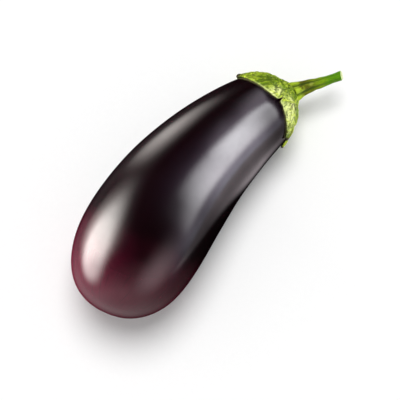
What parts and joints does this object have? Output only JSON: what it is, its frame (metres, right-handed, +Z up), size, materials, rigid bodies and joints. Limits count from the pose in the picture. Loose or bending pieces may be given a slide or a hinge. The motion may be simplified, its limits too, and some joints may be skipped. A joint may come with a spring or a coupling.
{
  "type": "eggplant",
  "caption": "Whole glossy purple-black eggplant lying on its side, slightly bowed, with a lobed green calyx and a short cut stem.",
  "frame": {"origin": "middle of the small flat spot under the belly that the eggplant rests on, in the plane of that flat", "axes": "+X from the blossom end to the stem along the fruit's length, +Z up, +Y towards the outside of the fruit's bow"},
  "size_m": [0.2322, 0.0866, 0.0811],
  "materials": {
    "skin": "smooth waxy skin, deep purple-black, glossy with soft broad reflections",
    "calyx": "leathery yellow-green, mottled and ribbed, satin, with dry brown lobe tips",
    "stem": "ridged green stalk, olive at its foot and brighter towards the cut end, satin"
  },
  "bodies": {
    "root": {"fruit": "skin", "calyx": "calyx", "stem": "stem"}
  },
  "joints": []
}
